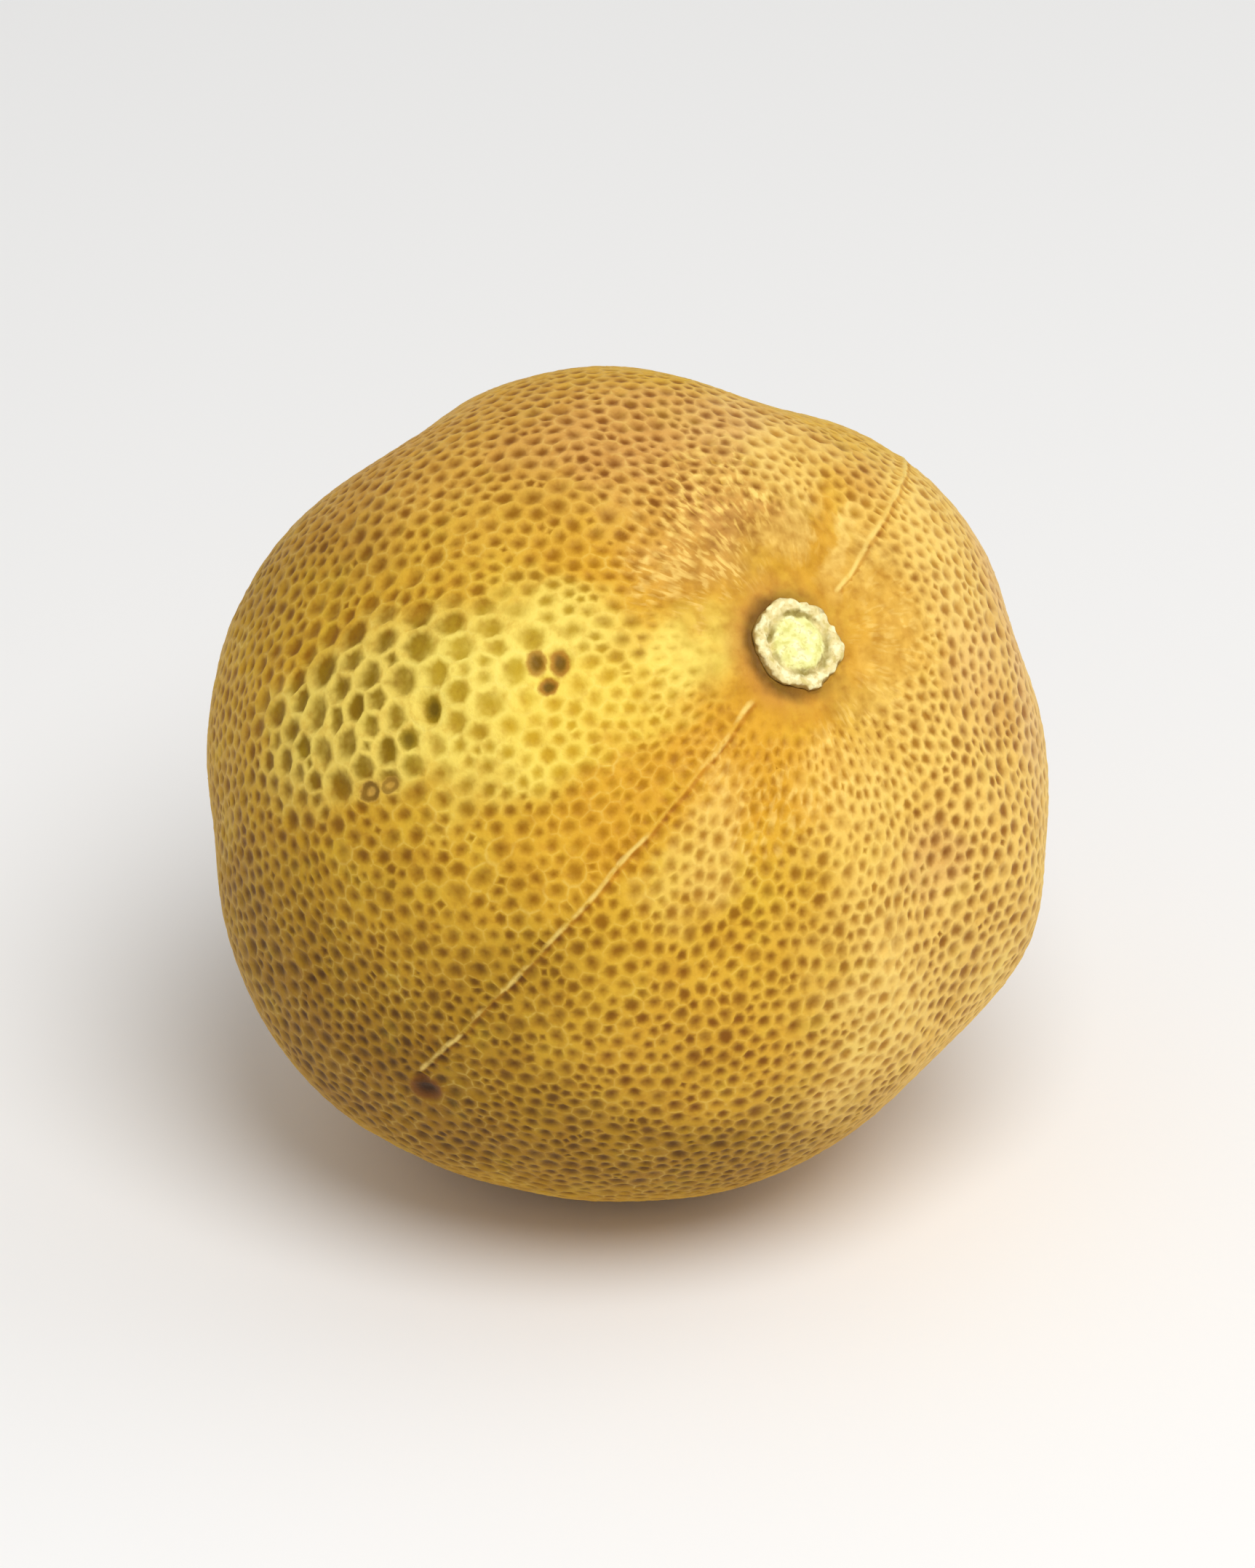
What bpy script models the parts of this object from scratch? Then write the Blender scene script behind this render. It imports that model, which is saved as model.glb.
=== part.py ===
"""A dried lime, lying on a small flat spot with its stem end leaning up to the front right.

Units are metres and +Z is up. The fruit is first shaped round its own stem axis, with the stem
end on +Z and the blossom end on -Z, and then leans into the attitude in which it rests. The
origin is on the ground, under the middle of the fruit's box.

Places on the fruit are given as on a globe: the polar angle is measured from the stem end, and
the azimuth runs round the stem axis from the side that leans towards the ground.
"""

import math
import random
from typing import NamedTuple

import bmesh
import bpy
from mathutils import Matrix, Vector, noise

MM = 0.001

# The dried fruit as a whole
FRUIT_RADIUS = 17.0 * MM
FRUIT_MIDDLE = Vector((0.01, 0.15, 16.5)) * MM
STEM_TILT = math.radians(45.0)
STEM_HEADING = math.radians(-55.6)

# The stem end: a shallow hollow with the socket of the button in it
STEM_HOLLOW_DEPTH = 0.45 * MM
STEM_HOLLOW_SPREAD = math.radians(12.0)
FIT_GAP = 0.3 * MM
SOCKET_DEPTH = 0.95 * MM
SOCKET_SIDES = 28
CUTTER_REACH = 3.0 * MM

# The woody button, with low lobes round its rim
BUTTON_RADIUS = 2.0 * MM
BUTTON_STAND = 0.35 * MM
BUTTON_LOBES = 6
BUTTON_LOBE_HEIGHT = 0.06 * MM
BUTTON_SIDES = 30

# The blossom end: a low nipple in a shallow moat
NIPPLE_HEIGHT = 0.65 * MM
NIPPLE_SPREAD = math.radians(9.0)
MOAT_DEPTH = 0.25 * MM
MOAT_POLAR = math.radians(17.0)
MOAT_SPREAD = math.radians(6.0)

# The spot it rests on: swells die out towards it, and the ground has pressed its pits smooth
REST_POLAR = math.pi - STEM_TILT
REST_AZIMUTH = 0.0
REST_CALM = math.radians(24.0)
REST_SMOOTH_INSIDE = math.radians(12.0)
REST_SMOOTH_OUTSIDE = math.radians(21.0)

# The crease, a thin raised line on one great circle through the stem
CREASE_AZIMUTH = math.radians(-60.0)
CREASE_HEIGHT = 0.22 * MM
CREASE_START = math.radians(9.0)
CREASE_FULL = math.radians(14.5)
CREASE_LONG_END = math.radians(88.0)
CREASE_SHORT_END = math.radians(62.0)
CREASE_DYING = 0.8

# The net of ridges round the oil-gland pits, about twice life size
PIT_COUNT = 1500
PIT_SCATTER = 0.30
PIT_RELAX_ROUNDS = 2
PIT_DEPTH = 0.36 * MM
PIT_DEPTH_SPREAD = 0.2
PIT_FADE_START = math.radians(7.5)
PIT_FADE_END = math.radians(16.0)
PIT_SEED = 11

# In steps from pit to pit: half a pit's width, the pits along the crease, and its nearest corners
PIT_HALF_WIDTH = 0.58
CREASE_PIT_STEP = 0.86
CREASE_CORNER_REACH = 0.3

# The skin's own unevenness
SKIN_WAVE_HEIGHT = 0.11 * MM
SKIN_WAVES = 4.2


class Swell(NamedTuple):
    """A soft hump, or a furrow where its height is below zero, that lies along a meridian."""

    polar: float
    azimuth: float
    length: float
    width: float
    height: float


# Degrees for the place, the half-length and the half-width, and millimetres for the height
SWELLS = (
    # Furrows that run out from the stem, and the dents in line with them
    Swell(29, -70, 18, 6.0, -0.42),
    Swell(25, -31, 15, 5.5, -0.38),
    Swell(34, 19, 26, 7.5, -0.50),
    Swell(86, 22, 20, 11.0, -0.35),
    Swell(39, 63, 15, 9.0, -0.42),
    Swell(62, 86, 13, 8.0, -0.40),
    Swell(20, 134, 12, 6.0, -0.32),
    Swell(65, 146, 19, 13.5, -0.96),
    Swell(73, 170, 12, 9.0, -0.20),
    Swell(38, 180, 14, 11.0, -0.34),
    Swell(88, -167, 22, 13.0, -0.70),
    Swell(26, -137, 16, 6.5, -0.30),
    Swell(62, -128, 22, 8.0, -0.25),
    # Ribs between the furrows
    Swell(50, -104, 32, 15.0, 0.36),
    Swell(40, -47, 20, 7.0, 0.24),
    Swell(31, -5, 20, 8.5, 0.38),
    Swell(73, 42, 21, 9.0, 0.56),
    Swell(22, 92, 10, 9.0, 0.18),
    Swell(52, 112, 18, 11.0, 0.22),
    Swell(19, 162, 9, 7.0, 0.20),
    # Broad swells and dents low on the fruit and on its far side
    Swell(107, -136, 20, 13.0, 0.22),
    Swell(122, -66, 28, 26.0, 0.72),
    Swell(112, -108, 20, 9.0, -0.30),
    Swell(106, 62, 26, 12.0, -0.40),
    Swell(108, 98, 28, 14.0, 0.34),
    Swell(118, 130, 24, 11.0, -0.42),
    Swell(112, 160, 26, 13.0, 0.30),
    Swell(132, -165, 20, 11.0, -0.36),
    Swell(140, 100, 18, 14.0, -0.25),
)


class Stretch(NamedTuple):
    """A patch of rind where the pits lie wider apart, or closer together below zero."""

    polar: float
    azimuth: float
    spread: float
    strength: float


# Degrees for the place and the spread, and the share by which the steps between pits grow
STRETCHES = (
    Stretch(58, -110, 20, 0.42),
    Stretch(40, 180, 20, -0.20),
    Stretch(45, 66, 22, -0.16),
    Stretch(85, 5, 26, 0.10),
)
STEM_GATHER = 0.28
STEM_GATHER_POLAR = math.radians(24.0)


def globe(polar, azimuth):
    """Returns the unit direction of a place on the fruit, from its two angles in radians."""
    ring = math.sin(polar)
    return Vector((ring * math.cos(azimuth), ring * math.sin(azimuth), math.cos(polar)))


def polar_of(direction):
    """Returns the angle between a unit direction and the stem axis."""
    return math.acos(max(-1.0, min(1.0, direction.z)))


def stem_frame():
    """Returns the turn and shift from the fruit's own frame to its place on the ground."""
    lean = Matrix.Rotation(STEM_HEADING, 4, "Z") @ Matrix.Rotation(STEM_TILT, 4, "Y")
    return Matrix.Translation(FRUIT_MIDDLE) @ lean


def bell(offset, spread):
    """Returns a smooth bell that is 1 at no offset and dies away over its spread."""
    return math.exp(-((offset / spread) ** 2))


def fade(value, start, end):
    """Returns a smooth step that rises from 0 at start to 1 at end."""
    part = min(max((value - start) / (end - start), 0.0), 1.0)
    return part * part * (3.0 - 2.0 * part)


def swell_height(direction, swell):
    """Returns how far one swell lifts the rind in this direction."""
    azimuth = math.radians(swell.azimuth)
    outward = Vector((math.cos(azimuth), math.sin(azimuth), 0.0))
    sideways = Vector((-math.sin(azimuth), math.cos(azimuth), 0.0))
    along = math.atan2(direction.dot(outward), direction.z)
    across = math.asin(max(-1.0, min(1.0, direction.dot(sideways))))
    length = bell(along - math.radians(swell.polar), math.radians(swell.length))
    return swell.height * MM * length * bell(across, math.radians(swell.width))


def ends_height(polar):
    """Returns the lift of the stem hollow, the nipple and its moat at this polar angle."""
    from_blossom = math.pi - polar
    hollow = STEM_HOLLOW_DEPTH * bell(polar, STEM_HOLLOW_SPREAD)
    nipple = NIPPLE_HEIGHT * bell(from_blossom, NIPPLE_SPREAD)
    moat = MOAT_DEPTH * bell(from_blossom - MOAT_POLAR, MOAT_SPREAD)
    return nipple - hollow - moat


def rind_radius(direction):
    """Returns the distance from the middle of the fruit to the top of the ridges."""
    calm = 1.0 - bell(direction.angle(globe(REST_POLAR, REST_AZIMUTH)), REST_CALM)
    relief = sum(swell_height(direction, swell) for swell in SWELLS)
    relief += SKIN_WAVE_HEIGHT * noise.noise(direction * SKIN_WAVES)
    return FRUIT_RADIUS + ends_height(polar_of(direction)) + relief * calm


def crease_side():
    """Returns the direction square to the plane that the crease lies in."""
    return globe(math.pi / 2.0, CREASE_AZIMUTH + math.pi / 2.0)


def crease_offset(direction):
    """Returns the angle between a direction and the plane that the crease lies in."""
    return math.asin(max(-1.0, min(1.0, direction.dot(crease_side()))))


def crease_end(direction):
    """Returns the polar angle at which the crease ends on this side of the stem."""
    long_side = direction.dot(globe(math.pi / 2.0, CREASE_AZIMUTH)) > 0.0
    return CREASE_LONG_END if long_side else CREASE_SHORT_END


def crease_run(direction):
    """Returns how strong the crease is at a corner of the net, which is 0 off its line."""
    if abs(crease_offset(direction)) > pit_pitch() * CREASE_CORNER_REACH:
        return 0.0
    polar = polar_of(direction)
    end = crease_end(direction)
    return fade(polar, CREASE_START, CREASE_FULL) * (1.0 - fade(polar, end * CREASE_DYING, end))


def pit_pitch():
    """Returns the mean angle from one pit to the next."""
    return math.sqrt(4.0 * math.pi / PIT_COUNT)


def scattered_direction(index, draw):
    """Returns a pit's place: a step of an even spiral over the globe, moved a little at random."""
    height = 1.0 - (2.0 * index + 1.0) / PIT_COUNT
    golden_angle = math.pi * (3.0 - math.sqrt(5.0))
    even = globe(math.acos(height), index * golden_angle)
    shift = Vector([draw.gauss(0.0, PIT_SCATTER) for _ in range(3)])
    return (even + shift * pit_pitch()).normalized()


def relaxed(places):
    """Returns the pits' places after those that lie too close together have moved apart."""
    mesh = bmesh.new()
    for place in places:
        mesh.verts.new(place)
    for _ in range(PIT_RELAX_ROUNDS):
        bmesh.ops.convex_hull(mesh, input=mesh.verts[:])
        bmesh.ops.smooth_vert(
            mesh, verts=mesh.verts[:], factor=0.5, use_axis_x=True, use_axis_y=True, use_axis_z=True
        )
        bmesh.ops.delete(mesh, geom=mesh.edges[:] + mesh.faces[:], context="EDGES_FACES")
        for corner in mesh.verts:
            corner.co.normalize()
    eased = [corner.co.copy() for corner in mesh.verts]
    mesh.free()
    return eased


def stretched(direction):
    """Returns a pit's place after the patches of wide and of narrow rind have moved it."""
    for patch in STRETCHES:
        middle = globe(math.radians(patch.polar), math.radians(patch.azimuth))
        away = direction.angle(middle)
        pull = patch.strength * bell(away, math.radians(patch.spread))
        direction = Matrix.Rotation(away * pull, 3, middle.cross(direction)) @ direction
    return direction


def gathered(direction):
    """Returns a pit's place after the skin is drawn together round the stem."""
    polar = polar_of(direction)
    drawn = polar * (1.0 - STEM_GATHER * bell(polar, STEM_GATHER_POLAR))
    return globe(drawn, math.atan2(direction.y, direction.x))


def crease_pits():
    """Returns the pits that line both sides of the crease, so that a ridge runs between them."""
    step = pit_pitch() * CREASE_PIT_STEP
    aside = crease_side() * step / 2.0
    pits = []
    for azimuth in (CREASE_AZIMUTH, CREASE_AZIMUTH + math.pi):
        polar = CREASE_START
        while polar < crease_end(globe(polar, azimuth)):
            pits += [(globe(polar, azimuth) + aside * way).normalized() for way in (-1, 1)]
            polar += step
    return pits


def clear_of_crease(direction):
    """Tells whether a scattered pit leaves room for the pits that line the crease."""
    in_run = CREASE_START / 2.0 < polar_of(direction) < crease_end(direction)
    return not in_run or abs(crease_offset(direction)) > pit_pitch() * CREASE_PIT_STEP


def pit_directions():
    """Returns the middles of all the pits as directions from the middle of the fruit."""
    draw = random.Random(PIT_SEED)
    places = relaxed([scattered_direction(index, draw) for index in range(PIT_COUNT)])
    places = [gathered(stretched(place)) for place in places]
    return [place for place in places if clear_of_crease(place)] + crease_pits()


def net_mesh(places):
    """Builds the closed net on a unit globe: a fan of triangles from each pit to its ridges."""
    mesh = bmesh.new()
    for place in places:
        mesh.verts.new(place)
    bmesh.ops.convex_hull(mesh, input=mesh.verts[:])
    hull_edges = mesh.edges[:]
    bmesh.ops.poke(mesh, faces=mesh.faces[:])
    bmesh.ops.rotate_edges(mesh, edges=hull_edges)
    return mesh


def pit_depth(pit, draw):
    """Returns the depth of one pit: more if it is wide, none at the button and where it rests."""
    near_stem = fade(polar_of(pit.co.normalized()), PIT_FADE_START, PIT_FADE_END)
    from_rest = pit.co.angle(globe(REST_POLAR, REST_AZIMUTH))
    near_rest = fade(from_rest, REST_SMOOTH_INSIDE, REST_SMOOTH_OUTSIDE)
    half_width = sum(edge.calc_length() for edge in pit.link_edges) / len(pit.link_edges)
    own = half_width / (pit_pitch() * PIT_HALF_WIDTH) + draw.uniform(-1.0, 1.0) * PIT_DEPTH_SPREAD
    return PIT_DEPTH * own * near_stem * near_rest


def raised_corner(direction):
    """Returns a corner of the net on the rind, drawn onto the crease and lifted where it runs."""
    run = crease_run(direction)
    side = crease_side()
    drawn = (direction - side * direction.dot(side) * run).normalized()
    return drawn * (rind_radius(drawn) + CREASE_HEIGHT * run)


def raise_rind(mesh, pit_total):
    """Moves the corners of the net out to the rind, and the middles of the pits to their floors."""
    draw = random.Random(PIT_SEED + 1)
    corners = mesh.verts[:]
    pits = corners[:pit_total]
    depths = [pit_depth(pit, draw) for pit in pits]
    for pit, depth in zip(pits, depths):
        direction = pit.co.normalized()
        pit.co = direction * (rind_radius(direction) - depth)
    for corner in corners[pit_total:]:
        corner.co = raised_corner(corner.co.normalized())


def flatten_rest(mesh):
    """Cuts the resting spot level with the ground and closes it with one flat face."""
    cut = bmesh.ops.bisect_plane(
        mesh,
        geom=mesh.verts[:] + mesh.edges[:] + mesh.faces[:],
        plane_co=(0.0, 0.0, 0.0),
        plane_no=(0.0, 0.0, -1.0),
        clear_outer=True,
    )
    rim = [item for item in cut["geom_cut"] if isinstance(item, bmesh.types.BMEdge)]
    bmesh.ops.holes_fill(mesh, edges=rim, sides=0)


def new_material(name, colour, roughness):
    """Makes a plain material of one colour."""
    material = bpy.data.materials.new(name)
    material.use_nodes = True
    shader = material.node_tree.nodes["Principled BSDF"]
    shader.inputs["Base Color"].default_value = (*colour, 1.0)
    shader.inputs["Roughness"].default_value = roughness
    shader.inputs["Metallic"].default_value = 0.0
    return material


def new_object(name, mesh, material):
    """Makes a named object of a closed bmesh that is already in place."""
    bmesh.ops.recalc_face_normals(mesh, faces=mesh.faces[:])
    data = bpy.data.meshes.new(name)
    mesh.to_mesh(data)
    mesh.free()
    data.materials.append(material)
    item = bpy.data.objects.new(name, data)
    bpy.context.collection.objects.link(item)
    return item


def make_fruit():
    """Makes the fruit: the netted rind, leant over and cut level where it rests."""
    places = pit_directions()
    mesh = net_mesh(places)
    raise_rind(mesh, len(places))
    bmesh.ops.transform(mesh, matrix=stem_frame(), verts=mesh.verts[:])
    flatten_rest(mesh)
    return new_object("fruit", mesh, new_material("dried_rind", (0.62, 0.36, 0.075), 0.6))


def stem_surface():
    """Returns the height of the rind along the stem axis, before the socket is cut."""
    return rind_radius(Vector((0.0, 0.0, 1.0)))


def cut_socket(fruit):
    """Cuts the round socket in which the button sits."""
    mesh = bmesh.new()
    top = stem_surface() + CUTTER_REACH
    floor = stem_surface() - SOCKET_DEPTH
    bmesh.ops.create_cone(
        mesh,
        cap_ends=True,
        segments=SOCKET_SIDES,
        radius1=BUTTON_RADIUS + FIT_GAP,
        radius2=BUTTON_RADIUS + FIT_GAP,
        depth=top - floor,
        matrix=stem_frame() @ Matrix.Translation((0.0, 0.0, (top + floor) / 2.0)),
    )
    cutter = new_object("socket_cutter", mesh, new_material("cutter", (0.1, 0.1, 0.1), 1.0))
    cutter.hide_render = True
    cutter.display_type = "WIRE"
    socket = fruit.modifiers.new("socket", "BOOLEAN")
    socket.operation = "DIFFERENCE"
    socket.solver = "EXACT"
    socket.object = cutter


def button_profile():
    """Returns the button's outline as radius and height, from its foot over the rim to its boss."""
    foot = stem_surface() - SOCKET_DEPTH + FIT_GAP
    top = stem_surface() + BUTTON_STAND
    return (
        (0.55 * BUTTON_RADIUS, foot),
        (0.86 * BUTTON_RADIUS, foot + 0.12 * MM),
        (0.93 * BUTTON_RADIUS, top - 0.45 * MM),
        (1.00 * BUTTON_RADIUS, top - 0.16 * MM),
        (0.90 * BUTTON_RADIUS, top - 0.02 * MM),
        (0.76 * BUTTON_RADIUS, top),
        (0.63 * BUTTON_RADIUS, top - 0.20 * MM),
        (0.52 * BUTTON_RADIUS, top - 0.05 * MM),
        (0.28 * BUTTON_RADIUS, top + 0.06 * MM),
    )


def turned(profile, sides):
    """Turns an open outline round the stem axis and closes its two ends."""
    mesh = bmesh.new()
    points = [mesh.verts.new((radius, 0.0, height)) for radius, height in profile]
    line = [mesh.edges.new(pair) for pair in zip(points, points[1:])]
    bmesh.ops.spin(
        mesh,
        geom=points + line,
        cent=(0.0, 0.0, 0.0),
        axis=(0.0, 0.0, 1.0),
        angle=math.tau,
        steps=sides,
        use_merge=True,
    )
    ends = bmesh.ops.holes_fill(mesh, edges=mesh.edges[:], sides=0)
    bmesh.ops.poke(mesh, faces=ends["faces"])
    return mesh


def draw_in_between_lobes(mesh):
    """Draws the button in between its lobes, most of all at the rim."""
    for corner in mesh.verts:
        outward = Vector((corner.co.x, corner.co.y, 0.0))
        azimuth = math.atan2(corner.co.y, corner.co.x)
        valley = (1.0 - math.cos(BUTTON_LOBES * azimuth)) * (outward.length / BUTTON_RADIUS) ** 3
        corner.co -= outward.normalized() * BUTTON_LOBE_HEIGHT * valley


def make_button():
    """Makes the woody button: a turned disc with a groove, a boss and a lobed rim."""
    mesh = turned(button_profile(), BUTTON_SIDES)
    draw_in_between_lobes(mesh)
    bmesh.ops.transform(mesh, matrix=stem_frame(), verts=mesh.verts[:])
    return new_object("stem_button", mesh, new_material("woody_button", (0.78, 0.68, 0.34), 0.75))


def main():
    """Builds the dried lime."""
    for item in list(bpy.data.objects):
        bpy.data.objects.remove(item)
    cut_socket(make_fruit())
    make_button()


main()
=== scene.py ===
"""The looks of a dried lime: a finely netted leathery rind and the woody button at its stem end.

Units are metres and +Z is up. Places on the fruit are given as on a globe that leans over with
the fruit: the polar angle is measured from the stem end, and the azimuth runs round the stem
axis from the side that leans towards the ground.
"""

import logging
import math
import random
from collections.abc import Callable, Sequence
from dataclasses import dataclass, field
from enum import Enum

import bmesh
import bpy
import numpy as np
from mathutils import Matrix, Vector, noise


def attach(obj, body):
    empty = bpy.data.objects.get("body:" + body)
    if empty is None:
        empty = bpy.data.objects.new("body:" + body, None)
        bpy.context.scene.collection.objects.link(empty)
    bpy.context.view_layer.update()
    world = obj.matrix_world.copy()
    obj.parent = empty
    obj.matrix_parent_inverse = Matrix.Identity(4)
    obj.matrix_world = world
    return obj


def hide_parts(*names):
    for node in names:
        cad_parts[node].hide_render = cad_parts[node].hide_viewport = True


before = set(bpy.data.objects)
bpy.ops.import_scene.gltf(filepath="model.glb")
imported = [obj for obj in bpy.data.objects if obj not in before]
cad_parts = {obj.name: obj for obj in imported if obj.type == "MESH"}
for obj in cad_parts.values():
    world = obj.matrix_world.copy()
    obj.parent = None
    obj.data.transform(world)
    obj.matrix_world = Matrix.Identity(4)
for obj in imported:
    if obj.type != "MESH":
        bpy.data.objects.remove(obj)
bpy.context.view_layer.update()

MM = 0.001
logger = logging.getLogger("dried_lime")

AXIS = Vector((0.0, 0.0, 1.0))
DEGREE = math.radians(1.0)
NOISE_SEED = 7

Colour = tuple[float, float, float]
Number = "Signal | float"
Values = dict[int | str, object]
Wire = bpy.types.NodeSocket
Mesh = bmesh.types.BMesh
Piece = bpy.types.Object
Material = bpy.types.Material


class Kind(Enum):
    """The ways in which one colour is laid over another."""

    OVER = "MIX"
    STAIN = "MULTIPLY"
    LIGHTEN = "SCREEN"


class Mark(Enum):
    """The numbers that the rind's mesh carries at its corners for its finish."""

    PIT = "pit"
    TONE = "tone"
    CREASE = "crease"


def paint(*steps: int) -> Colour:
    """Turns a colour as it looks, red, green and blue in steps of 255, into linear light."""
    shares = [step / 255.0 for step in steps]
    return tuple(s / 12.92 if s <= 0.04045 else ((s + 0.055) / 1.055) ** 2.4 for s in shares)


def globe(polar: float, azimuth: float) -> Vector:
    """Gives the unit direction of a place on the fruit from its two angles, in radians."""
    ring = math.sin(polar)
    return Vector((ring * math.cos(azimuth), ring * math.sin(azimuth), math.cos(polar)))


def spot(polar: float, azimuth: float) -> Vector:
    """Gives the direction of a place whose two angles are in degrees."""
    return globe(math.radians(polar), math.radians(azimuth))


def bell(offset: np.ndarray | float, spread: float) -> np.ndarray | float:
    """Gives a smooth bell that is 1 at no offset and dies away over its spread."""
    return np.exp(-((offset / spread) ** 2))


def fade(value: np.ndarray | float, start: float, end: float) -> np.ndarray | float:
    """Gives a smooth step that rises from 0 at start to 1 at end."""
    part = np.clip((value - start) / (end - start), 0.0, 1.0)
    return part * part * (3.0 - 2.0 * part)


def to_piece(name: str, mesh: Mesh, material: Material) -> Piece:
    """Makes a smooth shaded object of a mesh that is already in place.

    Args:
        name: The name of the new object.
        mesh: The mesh, which is freed.
        material: The finish of the whole object.

    Returns:
        The new object, at the origin.
    """
    bmesh.ops.recalc_face_normals(mesh, faces=mesh.faces[:])
    data = bpy.data.meshes.new(name)
    mesh.to_mesh(data)
    mesh.free()
    data.materials.append(material)
    data.shade_smooth()
    piece = bpy.data.objects.new(name, data)
    bpy.context.scene.collection.objects.link(piece)
    return piece


def arithmetic(operation: str) -> Callable:
    """Makes an operator that joins a signal and a number by a Math node."""
    return lambda first, second: first.wires.maths(operation, first, second)


@dataclass(frozen=True)
class Signal:
    """A number that changes over a surface: one output of a node, with the usual arithmetic."""

    wires: "Wires"
    socket: Wire

    __add__ = __radd__ = arithmetic("ADD")
    __mul__ = __rmul__ = arithmetic("MULTIPLY")
    __sub__ = arithmetic("SUBTRACT")
    __truediv__ = arithmetic("DIVIDE")

    def __rsub__(self, other: float) -> "Signal":
        """Is taken away from a number."""
        return self.wires.maths("SUBTRACT", other, self)

    def step(self, start: float, end: float) -> "Signal":
        """Turns into a smooth step: 0 at start and 1 at end, which may lie below start."""
        settings, sockets = {"interpolation_type": "SMOOTHSTEP"}, {0: self, 1: start, 2: end}
        return Signal(self.wires, self.wires.node("ShaderNodeMapRange", settings, sockets).outputs[0])


class Wires:
    """The nodes of one material, and the ways in which they are made and joined."""

    def __init__(self, name: str) -> None:
        """Starts a material with its principled shader."""
        self.material = bpy.data.materials.new(name)
        self.material.use_nodes = True
        self.tree = self.material.node_tree
        self.shader = self.tree.nodes["Principled BSDF"]

    def node(self, kind: str, settings: Values, sockets: Values) -> bpy.types.Node:
        """Makes one node.

        Args:
            kind: The node's type.
            settings: The node's own settings, which are set first.
            sockets: The value or the link of each input, by its place or its name.

        Returns:
            The new node.
        """
        made = self.tree.nodes.new(kind)
        for name, value in settings.items():
            setattr(made, name, value)
        for key, value in sockets.items():
            self.feed(made.inputs[key], value)
        return made

    def feed(self, target: Wire, value: object) -> None:
        """Sets an input to a value, or links it to an output."""
        if isinstance(value, Signal):
            value = value.socket
        if isinstance(value, Wire):
            self.tree.links.new(target, value)
        elif target.type == "RGBA":
            target.default_value = (*value, 1.0)
        else:
            target.default_value = value

    def dress(self, **sockets: object) -> None:
        """Feeds the shader's inputs, each named with its spaces as underscores."""
        for name, value in sockets.items():
            self.feed(self.shader.inputs[name.replace("_", " ")], value)

    def maths(self, operation: str, first: Number, second: Number) -> Signal:
        """Joins two numbers by a Math node."""
        made = self.node("ShaderNodeMath", {"operation": operation}, {0: first, 1: second})
        return Signal(self, made.outputs[0])

    def vector(self, operation: str, *vectors: object) -> Wire:
        """Joins vectors by a Vector Math node."""
        settings = {"operation": operation}
        return self.node("ShaderNodeVectorMath", settings, dict(enumerate(vectors))).outputs[0]

    def measure(self, operation: str, *vectors: object) -> Signal:
        """Gives the number that a Vector Math node makes of vectors."""
        settings = {"operation": operation}
        made = self.node("ShaderNodeVectorMath", settings, dict(enumerate(vectors)))
        return Signal(self, made.outputs["Value"])

    def length(self, place: object) -> Signal:
        """Measures a vector."""
        return self.measure("LENGTH", place)

    def dot(self, first: object, second: object) -> Signal:
        """Gives the dot product of two vectors."""
        return self.measure("DOT_PRODUCT", first, second)

    def flat(self, place: object) -> Wire:
        """Drops a place onto the plane square to the stem axis."""
        return self.vector("MULTIPLY", place, (1.0, 1.0, 0.0))

    def mark(self, mark: Mark) -> Signal:
        """Reads a number that the mesh carries at its corners."""
        made = self.node("ShaderNodeAttribute", {"attribute_name": mark.value}, {})
        return Signal(self, made.outputs["Fac"])

    def place(self) -> Wire:
        """Gives the place on the object, in its own coordinates."""
        return self.node("ShaderNodeTexCoord", {}, {}).outputs["Object"]

    def turned(
        self, place: object, middle: Sequence[float], turn: Sequence[float], size: Sequence[float]
    ) -> Wire:
        """Measures a place in a frame with its own middle, turn about X, Y and Z, and size."""
        sockets = {"Vector": place, "Location": middle, "Rotation": turn, "Scale": size}
        return self.node("ShaderNodeMapping", {"vector_type": "TEXTURE"}, sockets).outputs[0]

    def away(self, place: object, patch: "Scar | Blush", length: float, width: float) -> Signal:
        """Measures how far a place lies from a patch's middle, which is 1 at its half-axes."""
        polar, azimuth = math.radians(patch.polar), math.radians(patch.azimuth)
        turn, size = (0.0, polar, azimuth), (length, width, 1.0)
        return self.length(self.turned(place, globe(polar, azimuth), turn, size))

    def cloud(self, place: object, scale: float, detail: float = 2.0, rough: float = 0.5) -> Signal:
        """Gives a soft random pattern from 0 to 1, with as many lumps to a unit as its scale."""
        sockets = {"Vector": place, "Scale": scale, "Detail": detail, "Roughness": rough}
        return Signal(self, self.node("ShaderNodeTexNoise", {}, sockets).outputs[0])

    def shaken(self, place: object, scale: float, reach: float) -> Wire:
        """Moves a place about at random, so that a pattern's edges turn ragged.

        Args:
            place: The place as a vector.
            scale: The number of lumps to one unit of length.
            reach: How far the place moves at most.

        Returns:
            The moved place.
        """
        sockets = {"Vector": place, "Scale": scale, "Detail": 2.0}
        lumps = self.node("ShaderNodeTexNoise", {}, sockets).outputs["Color"]
        shift = self.vector("SUBTRACT", lumps, (0.5, 0.5, 0.5))
        return self.vector("ADD", place, self.vector("MULTIPLY", shift, (reach * 2.0,) * 3))

    def lay(self, under: object, over: object, share: Number, kind: Kind = Kind.OVER) -> Wire:
        """Lays a share of one colour over another."""
        settings = {"data_type": "RGBA", "blend_type": kind.value, "clamp_factor": True}
        return self.node("ShaderNodeMix", settings, {0: share, 6: under, 7: over}).outputs[2]

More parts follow.
